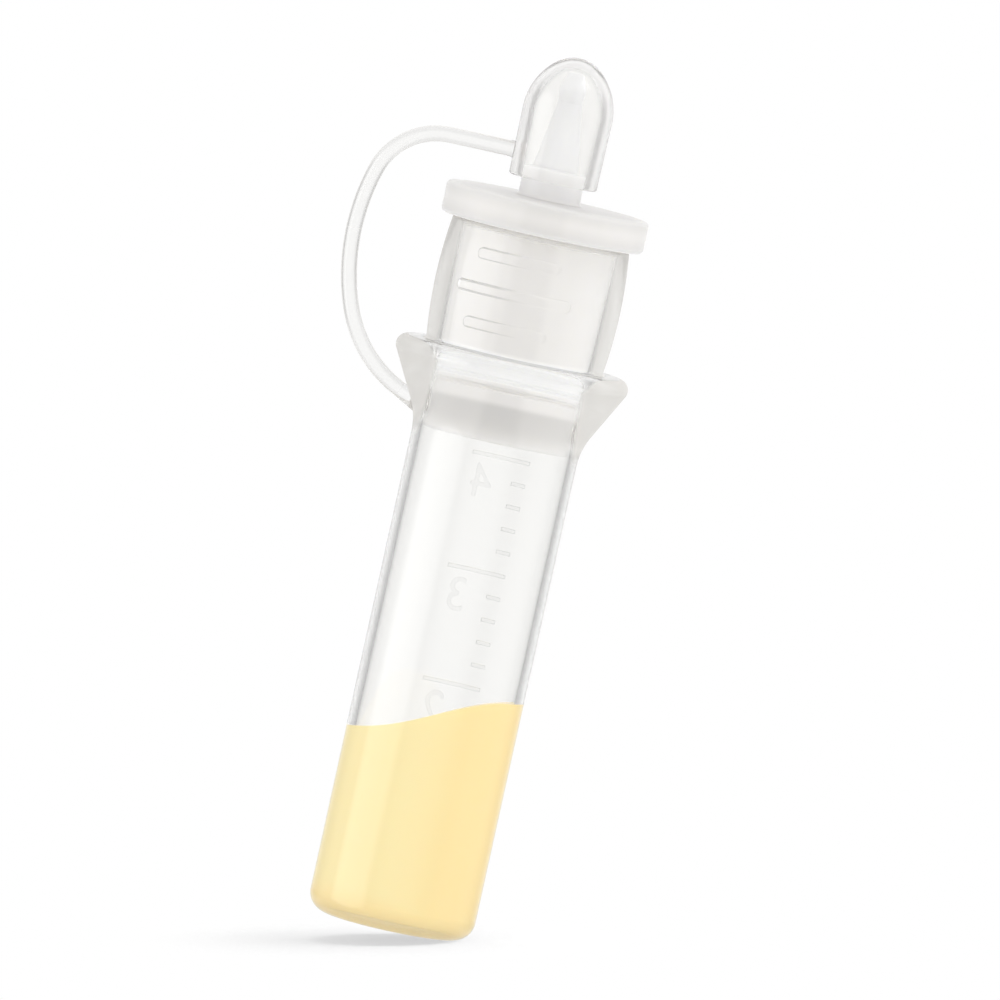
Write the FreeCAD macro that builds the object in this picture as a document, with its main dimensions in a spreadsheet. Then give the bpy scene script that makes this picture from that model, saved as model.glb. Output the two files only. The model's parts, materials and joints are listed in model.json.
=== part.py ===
import FreeCAD, Part
import math
import os
import re

import Sketcher
from FreeCAD import Placement, Rotation, Vector

# Soft silicone oral syringe: a squeezable barrel with a collar and a bulging neck, a stopper with a feeding
# spout, a dome cap on a moulded strap, and the dose inside. Millimetres and degrees. The origin is the centre
# of the base, +Z runs up the barrel to the spout, the strap loops out towards -X and the grip ribs face -Y.

SIZES = {
    # barrel
    "barrel_d": "13.2",
    "barrel_wall": "0.7",
    "floor_thick": "1.0",
    "base_corner": "1.6",
    "floor_corner": "0.9",
    # collar that the fingers hold, measured to its flat top; the ledge is the flat ring round the neck
    "collar_height": "45.6",
    "collar_ledge": "1.35",
    "collar_nose": "0.85",
    "collar_slope": "28",
    "collar_blend": "5",
    # neck and mouth
    "neck_length": "9.9",
    "neck_wall": "0.75",
    "neck_bulge": "0.3",
    "mouth_flare": "0.4",
    "mouth_round": "0.3",
    # grip ribs on the neck
    "rib_height": "0.95",
    "rib_proud": "0.3",
    "rib_pitch": "2.72",
    "rib_short_angle": "54",
    "rib_long_angle": "76",
    "rib_turn": "10",
    "rib_end_flat": "0.04",
    "rib_edge": "0.12",
    "rib_sink": "0.375",
    # stopper: plug, disc, spout root and spout
    "plug_clearance": "0.06",
    "plug_length": "16.5",
    "plug_edge": "0.4",
    "disc_overhang": "1",
    "disc_thick": "2.55",
    "disc_edge": "0.4",
    "root_d": "4.9",
    "root_length": "2.5",
    "root_blend": "0.35",
    "spout_length": "10.05",
    "spout_base_d": "3.6",
    "spout_waist_d": "1.9",
    "spout_tip_d": "1.2",
    "bulb_length": "2.3",
    "bulb_round": "1.8",
    # channel through the stopper, from the orifice down to the plug's end
    "orifice_d": "0.8",
    "orifice_length": "5.6",
    "channel_d": "2.1",
    "sump_d": "2.5",
    "sump_length": "12",
    "step_length": "0.5",
    # cap
    "cap_gap": "1.45",
    "cap_length": "9.9",
    "cap_d": "7.1",
    "cap_rim_d": "7",
    "cap_wall": "0.9",
    "cap_clearance": "0.06",
    "cap_rim_round": "0.2",
    "dome_length": "4.5",
    "dome_nose": "2.75",
    # strap from the collar to the cap: an upper bend, a long bow and a lower bend, and the lugs at its ends
    "strap_d": "1.25",
    "strap_below_collar": "4.45",
    "strap_above_rim": "1.9",
    "strap_reach": "14.35",
    "strap_upper_bend": "5.3",
    "strap_lower_bend": "9.8",
    "strap_bow_inset": "0.48",
    "lug_length": "0.35",
    "lug_sink": "0.25",
    # dose, level while the syringe leans by lean_angle
    "dose_height": "16.95",
    "dose_clearance": "0.02",
    "lean_angle": "12.3",
    "wave_step": "1.9",
    "wave_length": "10.4",
}

# Sizes that follow from the ones above.
DERIVED = {
    "barrel_r": "barrel_d / 2",
    "bore_r": "barrel_d / 2 - barrel_wall",
    "mouth_r": "bore_r + mouth_flare",
    "neck_r": "mouth_r + neck_wall",
    "nose_r": "neck_r + collar_ledge",
    "cone_top_r": "nose_r + collar_nose * cos(collar_slope)",
    "cone_top_z": "collar_height - collar_nose - collar_nose * sin(collar_slope)",
    "cone_z": "cone_top_z - (cone_top_r - barrel_r) / tan(collar_slope)",
    "mouth_z": "collar_height + neck_length",
    "neck_arc": "(neck_length * neck_length / 4 + neck_bulge * neck_bulge) / (2 * neck_bulge)",
    "neck_middle_z": "collar_height + neck_length / 2",
    "plug_r": "bore_r - plug_clearance",
    "plug_z": "mouth_z - plug_length",
    "disc_r": "neck_r + disc_overhang",
    "disc_top_z": "mouth_z + disc_thick",
    "spout_tip_z": "disc_top_z + spout_length",
    "waist_z": "spout_tip_z - bulb_length",
    "root_top_z": "disc_top_z + root_length",
    "sump_top_z": "plug_z + sump_length",
    "cap_rim_z": "disc_top_z + cap_gap",
    "cap_top_z": "cap_rim_z + cap_length",
    "dome_z": "cap_top_z - dome_length",
    "cap_mouth_r": "root_d / 2 + cap_clearance",
    "strap_foot_z": "collar_height - strap_below_collar",
    "strap_root_z": "cap_rim_z + strap_above_rim",
    "cone_at_strap_r": "barrel_r + (strap_foot_z + strap_d / 2 - cone_z) * tan(collar_slope)",
    "foot_lug_x": "cone_at_strap_r + lug_length",
    "root_lug_x": "cap_d / 2 + lug_length",
    "upper_bend_x": "strap_reach - strap_upper_bend - strap_bow_inset",
    "lower_bend_x": "strap_reach - strap_lower_bend - strap_bow_inset",
    "foot_tilt": "asin((foot_lug_x - lower_bend_x) / strap_lower_bend)",
    "upper_bend_z": "strap_root_z - strap_upper_bend",
    "lower_bend_z": "strap_foot_z + strap_lower_bend * cos(foot_tilt)",
    "bends_apart": "upper_bend_z - lower_bend_z",
    "bow_drop": "bends_apart / 2 + strap_bow_inset * (strap_lower_bend - strap_upper_bend) / bends_apart",
    "bow_r": "(bow_drop ^ 2 / strap_bow_inset + 2 * strap_upper_bend + strap_bow_inset) / 2",
    "bow_x": "strap_reach - bow_r",
    "bow_z": "upper_bend_z - bow_drop",
}

NEAR = 1e-4  # what is this near a place, in millimetres, is at it

doc = FreeCAD.newDocument("OralSyringe")
sheet = doc.addObject("Spreadsheet::Sheet", "Sizes")
for row, (name, value) in enumerate(SIZES.items(), start=1):
    sheet.set(f"A{row}", name)
    sheet.set(f"B{row}", value)
    sheet.setAlias(f"B{row}", name)
doc.recompute()


def formula(text):
    """Spell a formula over the size names as a sheet expression."""

    def spell(word):
        if word.group(0) in SIZES:
            return "Sizes." + word.group(0)
        if word.group(0) in DERIVED:
            return "(" + formula(DERIVED[word.group(0)]) + ")"
        return word.group(0)

    return re.sub(r"[a-z][a-z_]*", spell, text)


def size(text):
    """The present value of a formula over the size names."""
    return float(sheet.evalExpression(formula(text)))


def new_body(name):
    body = doc.addObject("PartDesign::Body", name)
    body.Label = name
    return body


def new_sketch(body, name, plane="XZ_Plane", offset=None):
    """A sketch on one of the body's own origin planes."""
    sketch = body.newObject("Sketcher::SketchObject", name)
    origin_plane = next(f for f in body.Origin.OriginFeatures if f.Role == plane)
    sketch.AttachmentSupport = (origin_plane, [""])
    sketch.MapMode = "FlatFace"
    if offset:
        sketch.AttachmentOffset = offset
    return sketch


def hold(sketch, edge, end, across, up):
    """Hold one end of an edge at two formulas, measured from the sketch's origin."""
    for kind, text, axis in (("DistanceX", across, -2), ("DistanceY", up, -1)):
        value = size(text)
        if abs(value) < NEAR:
            sketch.addConstraint(Sketcher.Constraint("PointOnObject", edge, end, axis))
        elif value > 0:
            index = sketch.addConstraint(Sketcher.Constraint(kind, -1, 1, edge, end, value))
            sketch.setExpression(f"Constraints[{index}]", formula(text))
        else:
            index = sketch.addConstraint(Sketcher.Constraint(kind, edge, end, -1, 1, -value))
            sketch.setExpression(f"Constraints[{index}]", formula(f"-({text})"))


def arc_between(start, end, radius):
    """The minor arc from start to end; a positive radius turns left on the way, a negative one right."""
    chord = end - start
    middle = (start + end) / 2
    to_left = Vector(-chord.y, chord.x, 0).normalize()
    reach = math.sqrt(radius * radius - chord.Length**2 / 4)
    centre = middle + to_left * math.copysign(reach, radius)
    first, last = (start, end) if radius > 0 else (end, start)
    angles = [math.atan2(p.y - centre.y, p.x - centre.x) for p in (first, last)]
    circle = Part.Circle(centre, Vector(0, 0, 1), abs(radius))
    return Part.ArcOfCircle(circle, *angles)


def add_outline(sketch, corners, closed=True):
    """Lines and arcs from corner to corner.

    A corner is (across, up), or (across, up, radius) where an arc of that radius leaves it. A radius that
    starts with a minus sign turns right.
    """
    points = [Vector(size(c[0]), size(c[1]), 0) for c in corners]
    count = len(corners) if closed else len(corners) - 1
    ends = []
    for i in range(count):
        start, end = points[i], points[(i + 1) % len(points)]
        if len(corners[i]) == 2:
            edge = sketch.addGeometry(Part.LineSegment(start, end), False)
            ends.append((edge, 1, 2))
            continue
        edge = sketch.addGeometry(arc_between(start, end, size(corners[i][2])), False)
        ends.append((edge, 2, 1) if corners[i][2].startswith("-") else (edge, 1, 2))
        index = sketch.addConstraint(
            Sketcher.Constraint("Radius", edge, abs(size(corners[i][2])))
        )
        sketch.setExpression(f"Constraints[{index}]", formula(corners[i][2].lstrip("-")))
    for i, (edge, start, end) in enumerate(ends):
        hold(sketch, edge, start, *corners[i][:2])
        if closed or i + 1 < count:
            after = ends[(i + 1) % count]
            sketch.addConstraint(Sketcher.Constraint("Coincident", edge, end, after[0], after[1]))
        else:
            hold(sketch, edge, end, *corners[i + 1][:2])


def revolve(body, name, sketch, angle="360"):
    """Turn a sketch about its upright axis, to both sides of its plane."""
    feature = body.newObject("PartDesign::Revolution", name)
    feature.Profile = sketch
    feature.ReferenceAxis = (sketch, ["V_Axis"])
    feature.Midplane = angle != "360"
    feature.setExpression("Angle", formula(angle))
    doc.recompute()
    return feature


def round_edges(feature, radius, height):
    """The names of a feature's level round edges of one radius at one height."""
    found = []
    for number, edge in enumerate(feature.Shape.Edges, start=1):
        if edge.Degenerated or not isinstance(edge.Curve, Part.Circle):
            continue
        off_radius = abs(edge.Curve.Radius - size(radius))
        off_height = abs(edge.Curve.Center.z - size(height))
        if off_radius < NEAR and off_height < NEAR:
            found.append(f"Edge{number}")
    return found


def level_straight_edges(feature, height):
    """The names of a feature's straight edges that lie level at one height."""
    found = []
    for number, edge in enumerate(feature.Shape.Edges, start=1):
        if edge.Degenerated or not isinstance(edge.Curve, Part.Line):
            continue
        if all(abs(vertex.Z - size(height)) < NEAR for vertex in edge.Vertexes):
            found.append(f"Edge{number}")
    return found


def crest_edges(feature, radius, height):
    """The names of the edges round the cylindrical face of one radius that spans a height."""
    for face in feature.Shape.Faces:
        if not isinstance(face.Surface, Part.Cylinder) or abs(face.Surface.Radius - size(radius)) > NEAR:
            continue
        if face.BoundBox.ZMin < size(height) < face.BoundBox.ZMax:
            numbered = enumerate(feature.Shape.Edges, start=1)
            return [f"Edge{n}" for n, edge in numbered if any(edge.isSame(own) for own in face.Edges)]
    return []


def fillet(body, name, edges, radius):
    """Round the named edges of the body's tip."""
    if not edges:
        raise ValueError(f"{name} has no edge to round")
    base = body.Tip
    feature = body.newObject("PartDesign::Fillet", name)
    feature.Base = (base, edges)
    feature.setExpression("Radius", formula(radius))
    body.Tip = feature
    doc.recompute()
    return feature


def strap_section(body, name, out, height, tilt="0"):
    """The strap's round section at a distance out towards -X; it faces +X, turned down by the tilt."""
    facing = Placement(Vector(), Rotation(Vector(1, 0, 0), size(tilt)))
    sketch = new_sketch(body, name, "YZ_Plane", facing)
    sketch.setExpression("AttachmentOffset.Base.y", formula(height))
    sketch.setExpression("AttachmentOffset.Base.z", formula(f"-({out})"))
    if size(tilt) > NEAR:
        sketch.setExpression("AttachmentOffset.Rotation.Angle", formula(tilt))
    sketch.addGeometry(Part.Circle(Vector(), Vector(0, 0, 1), size("strap_d / 2")), False)
    index = sketch.addConstraint(Sketcher.Constraint("Diameter", 0, size("strap_d")))
    sketch.setExpression(f"Constraints[{index}]", formula("strap_d"))
    hold(sketch, 0, 3, "0", "0")
    return sketch


def add_lug(body, name, section, depth):
    """A round stub of the strap's own section, from the section back into the wall."""
    pad = body.newObject("PartDesign::Pad", name)
    pad.Profile = section
    pad.setExpression("Length", formula(depth))
    body.Tip = pad
    doc.recompute()


def add_rib(body, number, angle):
    """One raised grip rib, rounded at its ends; number counts up from the middle one.

    Its section is drawn in the plane that faces -Y, turned rib_turn towards -X.
    """
    level = f"neck_middle_z + ({number}) * rib_pitch"
    drop = f"neck_arc - sqrt(neck_arc * neck_arc - ({number} * rib_pitch) ^ 2)"
    outside = f"neck_r + neck_bulge - ({drop}) + rib_proud"
    inside = "neck_r - rib_sink"
    name = f"Rib{number + 1}"
    facing = Placement(Vector(), Rotation(Vector(0, 1, 0), -90 - size("rib_turn")))
    sketch = new_sketch(body, name + "Sketch", "XZ_Plane", facing)
    low, high = f"{level} - rib_height / 2", f"{level} + rib_height / 2"
    add_outline(sketch, [(inside, low), (outside, low), (outside, high), (inside, high)])
    rib = revolve(body, name, sketch, angle)
    rib_ends = level_straight_edges(rib, low) + level_straight_edges(rib, high)
    fillet(body, name + "Ends", rib_ends, "(rib_height - rib_end_flat) / 2")
    fillet(body, name + "Crest", crest_edges(body.Tip, outside, level), "rib_edge")


def make_container():
    body = new_body("container")
    sketch = new_sketch(body, "ContainerProfile")
    add_outline(
        sketch,
        [
            ("0", "0"),
            ("barrel_r", "0"),
            ("barrel_r", "cone_z"),
            ("cone_top_r", "cone_top_z", "collar_nose"),
            ("nose_r", "collar_height"),
            ("neck_r", "collar_height", "neck_arc"),
            ("neck_r", "mouth_z"),
            ("mouth_r", "mouth_z"),
            ("bore_r", "collar_height"),
            ("bore_r", "floor_thick"),
            ("0", "floor_thick"),
        ],
    )
    revolve(body, "Moulding", sketch)
    fillet(body, "BaseCorner", round_edges(body.Tip, "barrel_r", "0"), "base_corner")
    fillet(body, "FloorCorner", round_edges(body.Tip, "bore_r", "floor_thick"), "floor_corner")
    fillet(body, "CollarBlend", round_edges(body.Tip, "barrel_r", "cone_z"), "collar_blend")
    lip = round_edges(body.Tip, "mouth_r", "mouth_z") + round_edges(body.Tip, "neck_r", "mouth_z")
    fillet(body, "MouthLip", lip, "mouth_round")
    for number, angle in ((-1, "rib_short_angle"), (0, "rib_long_angle"), (1, "rib_short_angle")):
        add_rib(body, number, angle)
    section = strap_section(body, "StrapFootSection", "foot_lug_x", "strap_foot_z", "foot_tilt")
    depth = "(foot_lug_x - strap_d / 2 * sin(foot_tilt) - bore_r - lug_sink) / cos(foot_tilt)"
    add_lug(body, "StrapFoot", section, depth)
    return body


def make_dose():
    body = new_body("dose")
    sketch = new_sketch(body, "DoseProfile")
    side = "bore_r - dose_clearance"
    above_surface = "dose_height + bore_r"
    add_outline(
        sketch,
        [
            ("0", "floor_thick + dose_clearance"),
            (side, "floor_thick + dose_clearance"),
            (side, above_surface),
            ("0", above_surface),
        ],
    )
    revolve(body, "Fill", sketch)
    corner = round_edges(body.Tip, side, "floor_thick + dose_clearance")
    fillet(body, "DoseCorner", corner, "floor_corner")
    # Everything above the surface is cut away. The cut's sketch is turned with the lean, so that the level
    # stretches on both sides of the wave are level in it.
    surface = new_sketch(body, "Surface")
    surface.setExpression("AttachmentOffset.Base.y", formula("dose_height"))
    surface.setExpression("AttachmentOffset.Rotation.Angle", formula("lean_angle"))
    wave_r = "(wave_length * wave_length + wave_step * wave_step) / (4 * wave_step)"
    add_outline(
        surface,
        [
            ("-barrel_d", "-wave_step / 2"),
            ("-wave_length / 2", "-wave_step / 2", wave_r),
            ("0", "0", "-" + wave_r),
            ("wave_length / 2", "wave_step / 2"),
            ("barrel_d", "wave_step / 2"),
            ("barrel_d", "2 * barrel_d"),
            ("-barrel_d", "2 * barrel_d"),
        ],
    )
    cut = body.newObject("PartDesign::Pocket", "SurfaceCut")
    cut.Profile = surface
    cut.Type = "ThroughAll"
    cut.Midplane = True
    body.Tip = cut
    doc.recompute()
    return body


def make_stopper():
    body = new_body("stopper")
    sketch = new_sketch(body, "StopperProfile")
    add_outline(
        sketch,
        [
            ("sump_d / 2", "plug_z"),
            ("plug_r", "plug_z"),
            ("plug_r", "collar_height"),
            ("mouth_r - plug_clearance", "mouth_z"),
            ("disc_r", "mouth_z"),
            ("disc_r", "disc_top_z"),
            ("root_d / 2", "disc_top_z"),
            ("root_d / 2", "root_top_z"),
            ("spout_base_d / 2", "root_top_z"),
            ("spout_waist_d / 2", "waist_z", "bulb_round"),
            ("spout_tip_d / 2", "spout_tip_z"),
            ("orifice_d / 2", "spout_tip_z"),
            ("orifice_d / 2", "spout_tip_z - orifice_length"),
            ("channel_d / 2", "disc_top_z"),
            ("channel_d / 2", "sump_top_z"),
            ("sump_d / 2", "sump_top_z - step_length"),
        ],
    )
    revolve(body, "Moulding", sketch)
    fillet(body, "PlugEnd", round_edges(body.Tip, "plug_r", "plug_z"), "plug_edge")
    rims = round_edges(body.Tip, "disc_r", "mouth_z") + round_edges(body.Tip, "disc_r", "disc_top_z")
    fillet(body, "DiscRims", rims, "disc_edge")
    fillet(body, "RootBlend", round_edges(body.Tip, "root_d / 2", "disc_top_z"), "root_blend")
    return body


def dome(side, length, nose, base, outward):
    """The corners of a bullet-shaped dome: a long side arc that runs into a rounder nose arc.

    outward starts at the foot of the side; otherwise the corners come back from the tip.
    """
    side_r = f"(({side}) ^ 2 + (({length}) - ({nose})) ^ 2 - ({nose}) ^ 2) / (2 * (({side}) - ({nose})))"
    join_r = f"({nose}) * (({side_r}) - ({side})) / (({side_r}) - ({nose}))"
    join_z = f"({base}) + (({length}) - ({nose})) * ({side_r}) / (({side_r}) - ({nose}))"
    tip = f"({base}) + ({length})"
    if outward:
        return [(side, base, side_r), (join_r, join_z, nose), ("0", tip)]
    return [("0", tip, "-" + nose), (join_r, join_z, "-" + side_r), (side, base)]


def make_cap():
    body = new_body("cap")
    sketch = new_sketch(body, "CapProfile")
    outside = dome("cap_d / 2", "dome_length", "dome_nose", "dome_z", True)
    hollow = (f"{outer} - cap_wall" for outer in ("cap_d / 2", "dome_length", "dome_nose"))
    inside = dome(*hollow, "dome_z", False)
    rim = [("cap_mouth_r", "cap_rim_z"), ("cap_rim_d / 2", "cap_rim_z")]
    add_outline(sketch, rim + outside + inside)
    revolve(body, "Moulding", sketch)
    edges = round_edges(body.Tip, "cap_rim_d / 2", "cap_rim_z")
    fillet(body, "Rim", edges, "cap_rim_round")
    section = strap_section(body, "StrapRootSection", "root_lug_x", "strap_root_z")
    add_lug(body, "StrapRoot", section, "lug_length + cap_wall / 2")
    return body


def make_tether():
    body = new_body("tether")
    path = new_sketch(body, "StrapPath")
    upper = "bow_r / (bow_r - strap_upper_bend)"
    lower = "bow_r / (bow_r - strap_lower_bend)"
    add_outline(
        path,
        [
            ("-root_lug_x", "strap_root_z"),
            ("-upper_bend_x", "strap_root_z", "strap_upper_bend"),
            (f"-bow_x - (upper_bend_x - bow_x) * {upper}", f"bow_z + bow_drop * {upper}", "bow_r"),
            (
                f"-bow_x - (lower_bend_x - bow_x) * {lower}",
                f"bow_z - (bow_z - lower_bend_z) * {lower}",
                "strap_lower_bend",
            ),
            ("-foot_lug_x", "strap_foot_z"),
        ],
        closed=False,
    )
    section = strap_section(body, "StrapSection", "root_lug_x", "strap_root_z")
    strap = body.newObject("PartDesign::AdditivePipe", "Strap")
    strap.Profile = section
    strap.Spine = (path, [f"Edge{i + 1}" for i in range(path.GeometryCount)])
    body.Tip = strap
    doc.recompute()
    return body


parts = [make_container(), make_dose(), make_tether(), make_stopper(), make_cap()]
doc.recompute()

for item in doc.Objects:
    if "Invalid" in item.State or "Error" in item.State:
        raise RuntimeError(f"{item.Label} failed: {item.State}")
for body in parts:
    if body.Shape.isNull() or not body.Shape.isValid() or len(body.Shape.Solids) != 1:
        raise RuntimeError(f"{body.Label} is not one valid solid")

os.makedirs("parts", exist_ok=True)
for body in parts:
    body.Shape.exportStep(f"parts/{body.Label}.step")
    box = body.Shape.BoundBox
    print(
        f"{body.Label}: {body.Shape.Volume:.1f} mm3, x {box.XMin:.2f} to {box.XMax:.2f},",
        f"y {box.YMin:.2f} to {box.YMax:.2f}, z {box.ZMin:.2f} to {box.ZMax:.2f}",
    )
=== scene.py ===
import json
import math

import bpy
from bpy.props import FloatProperty, FloatVectorProperty, PointerProperty
from mathutils import Matrix, Vector


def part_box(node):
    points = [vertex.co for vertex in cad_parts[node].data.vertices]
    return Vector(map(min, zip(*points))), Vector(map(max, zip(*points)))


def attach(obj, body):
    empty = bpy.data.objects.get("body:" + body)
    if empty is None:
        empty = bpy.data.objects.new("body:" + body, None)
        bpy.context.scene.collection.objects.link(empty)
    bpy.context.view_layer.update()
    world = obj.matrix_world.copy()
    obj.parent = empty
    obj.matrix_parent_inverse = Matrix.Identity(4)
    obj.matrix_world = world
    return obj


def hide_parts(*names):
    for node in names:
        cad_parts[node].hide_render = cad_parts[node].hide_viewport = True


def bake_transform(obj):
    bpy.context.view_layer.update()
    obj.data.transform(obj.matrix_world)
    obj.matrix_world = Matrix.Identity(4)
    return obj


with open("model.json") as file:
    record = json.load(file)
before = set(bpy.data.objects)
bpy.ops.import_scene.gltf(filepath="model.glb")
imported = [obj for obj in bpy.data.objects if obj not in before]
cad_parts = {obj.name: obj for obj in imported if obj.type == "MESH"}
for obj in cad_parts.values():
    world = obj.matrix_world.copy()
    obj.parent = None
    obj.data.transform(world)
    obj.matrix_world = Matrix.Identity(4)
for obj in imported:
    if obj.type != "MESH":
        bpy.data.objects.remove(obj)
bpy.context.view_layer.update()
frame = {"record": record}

bl_info = {
    "name": "Oral syringe",
    "version": (1, 0, 0),
    "blender": (4, 5, 0),
    "location": "3D View > Sidebar > Syringe",
    "description": "Models a soft silicone oral syringe with its stopper, cap, strap and dose",
    "category": "Add Mesh",
}

MM = 0.001
JOIN = MM / 10000  # points closer than this are one
SMOOTH_BELOW = math.radians(32)  # a steeper edge stays sharp
DIGIT_DEPTH = 0.08  # half the thickness of a digit, as a share of the type size
DIGIT_GRAIN = 0.014  # the grain that its rounding is worked out in
SILICONE_IOR = 1.41
MILK_IOR = 1.35

# What the frame fixes. The syringe stands on the origin with its spout up, the strap towards -X and the grip
# ribs towards -Y.
MOUNTS = {mount["name"]: mount for mount in frame["record"]["mounts"]}
BARREL_R = MOUNTS["barrel"]["dims"]["r_mm"] * MM
CONTAINER_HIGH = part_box("container")[1]
STOPPER_LOW, STOPPER_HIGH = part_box("stopper")
CAP_LOW, CAP_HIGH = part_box("cap")
DOSE_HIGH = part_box("dose")[1]
TETHER_LOW, TETHER_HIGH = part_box("tether")


def length(name, description, millimetres):
    """A length that a user may change."""
    return FloatProperty(
        name=name, description=description, default=millimetres * MM, unit="LENGTH", precision=5
    )


def angle(name, description, degrees):
    """An angle that a user may change."""
    return FloatProperty(name=name, description=description, default=math.radians(degrees), unit="ROTATION")


def strength(name, description, value):
    """A share or strength that a user may change."""
    return FloatProperty(name=name, description=description, default=value, min=0)


def linear(code):
    """An sRGB colour such as F4E0A0 as linear red, green and blue."""
    channels = [int(code[i:i + 2], 16) / 255 for i in (0, 2, 4)]
    return [c / 12.92 if c <= 0.04045 else ((c + 0.055) / 1.055) ** 2.4 for c in channels]


def colour(name, description, code):
    """A colour that a user may change."""
    return FloatVectorProperty(
        name=name, description=description, default=linear(code), subtype="COLOR", size=3, min=0, max=1
    )


class SyringeContainerSizes(bpy.types.PropertyGroup):
    """Sizes of the barrel, collar and neck that the frame's boxes don't give."""

    wall: length("Wall", "Thickness of the barrel's wall", 0.7)
    floor: length("Floor", "Thickness of the barrel's floor", 1.0)
    base_corner: length("Base corner", "Rounding of the outer edge of the base", 1.6)
    floor_corner: length("Floor corner", "Rounding of the bore's bottom edge", 0.9)
    mouth_gap: length("Mouth gap", "Hairline between the mouth and the disc that rests on it", 0.02)
    collar_height: length("Collar height", "Height of the collar's flat top", 45.6)
    collar_nose: length("Collar nose", "Rounding of the collar's rim", 0.85)
    collar_blend: length("Collar blend", "Rounding where the barrel runs out into the collar", 5)
    collar_slope: angle("Collar slope", "Slope of the collar's cone from the barrel's wall", 28)
    neck_wall: length("Neck wall", "Thickness of the neck at the mouth", 0.75)
    neck_bulge: length("Neck bulge", "How far the neck's middle stands out past its ends", 0.3)
    neck_foot: length("Neck foot", "Rounding between the neck and the collar", 0.22)
    mouth_flare: length("Mouth flare", "How much wider the bore is at the mouth", 0.4)
    mouth_round: length("Mouth rounding", "Rounding of the mouth's lip", 0.3)


class SyringeReliefSizes(bpy.types.PropertyGroup):
    """Sizes of the grip ribs and the raised scale."""

    rib_height: length("Rib height", "Height of a grip rib along the neck", 0.95)
    rib_proud: length("Rib relief", "How far a rib stands out of the neck", 0.3)
    rib_pitch: length("Rib pitch", "Distance from rib to rib", 2.72)
    rib_long: angle("Long rib", "Angle that the middle rib spans round the neck", 76)
    rib_short: angle("Short rib", "Angle that the outer ribs span round the neck", 54)
    rib_turn: angle("Rib turn", "Turn of the ribs from the front towards the strap", 10)
    millilitre: length("Millilitre", "Height of one millilitre in the bore", 9.1)
    zero_height: length("Zero height", "Height of the scale's zero", 0.95)
    line: length("Line thickness", "Thickness of the scale's lines", 0.3)
    proud: length("Scale relief", "How far lines and digits stand out of the barrel", 0.05)
    line_start: angle("Line start", "Where the lines start, from the middle of the back", -29.5)
    long_end: angle("Long line end", "Where a whole millilitre's line ends", 14.7)
    short_end: angle("Short line end", "Where a part line ends", -18)
    digit_height: length("Digit height", "Height of the digits", 2.7)
    digit_drop: length("Digit drop", "Distance from a line down to its digit", 0.75)
    digit_turn: angle("Digit turn", "Middle of the digits, from the middle of the back", 3.9)


class SyringeStopperSizes(bpy.types.PropertyGroup):
    """Sizes of the stopper that the frame's box doesn't give."""

    clearance: length("Clearance", "Gap between the plug and the bore", 0.06)
    plug_edge: length("Plug edge", "Rounding of the plug's lower edge", 0.4)
    disc: length("Disc", "Thickness of the disc", 2.55)
    disc_edge: length("Disc edge", "Rounding of the disc's rims", 0.4)
    root_r: length("Root radius", "Radius of the spout's root", 2.45)
    root: length("Root", "Height of the spout's root", 2.5)
    root_blend: length("Root blend", "Rounding between the root and the disc", 0.35)
    base_r: length("Spout base", "Radius of the spout above its root", 1.8)
    waist_r: length("Spout waist", "Radius of the spout below its tip", 0.95)
    waist_blend: length("Waist blend", "Rounding of the waist", 0.2)
    tip_r: length("Spout tip", "Radius of the flat tip", 0.6)
    spout_edge: length("Spout edges", "Rounding of the root's upper edges and of the tip", 0.15)
    bulb: length("Bulb", "Length of the rounded tip", 2.3)
    bulb_swell: length("Bulb swell", "How far the bulb stands out past the waist", 0.12)
    bulb_round: length("Bulb rounding", "Rounding of the bulb's middle", 1.2)
    orifice_r: length("Orifice", "Radius of the orifice", 0.4)
    orifice: length("Orifice length", "Length of the narrow orifice", 5.6)
    orifice_edge: length("Orifice edge", "Rounding of the orifice's edge", 0.08)
    channel_r: length("Channel", "Radius of the channel", 1.05)
    sump_r: length("Sump", "Radius of the channel's lower end", 1.25)
    sump: length("Sump length", "Length of the wider lower end", 12)
    step: length("Step", "Length of the step in the channel", 0.5)
    groove: length("Groove height", "Height of the lower groove round the plug", 43.6)
    groove_pitch: length("Groove pitch", "Distance from groove to groove", 0.8)
    groove_width: length("Groove width", "Width of a groove", 0.45)
    groove_depth: length("Groove depth", "Depth of a groove", 0.18)
    groove_edge: length("Groove edge", "Rounding of a groove's edges", 0.05)


class SyringeCapSizes(bpy.types.PropertyGroup):
    """Sizes of the cap that the frame's box doesn't give."""

    wall: length("Cap wall", "Thickness of the cap's wall", 0.9)
    mouth_r: length("Cap mouth", "Inner radius at the cap's rim", 2.51)
    rim_r: length("Cap rim", "Outer radius at the cap's rim", 3.5)
    rim_round: length("Rim rounding", "Rounding of the cap's rim", 0.2)
    dome: length("Dome", "Height of the cap's dome", 4.5)
    nose_r: length("Nose", "Radius of the dome's nose", 2.75)


class SyringeStrapSizes(bpy.types.PropertyGroup):
    """Sizes of the strap, which runs from the cap through a bend, a bow and a second bend to the collar."""

    upper_bend: length("Upper bend", "Radius of the bend beside the cap", 5.3)
    lower_bend: length("Lower bend", "Radius of the bend above the collar", 9.8)
    bow_inset: length("Bow inset", "How far the ends of the bow lie inside its reach", 0.48)
    foot_out: length("Foot", "Distance from the axis to the strap's lower end", 8.131)
    foot_height: length("Foot height", "Height of the strap's lower end", 41.15)
    stub_sink: length("Stub sink", "Wall left between the lower stub and the bore", 0.25)
    flare: length("Flare", "How much wider a stub is where it leaves its wall", 0.12)


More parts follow.
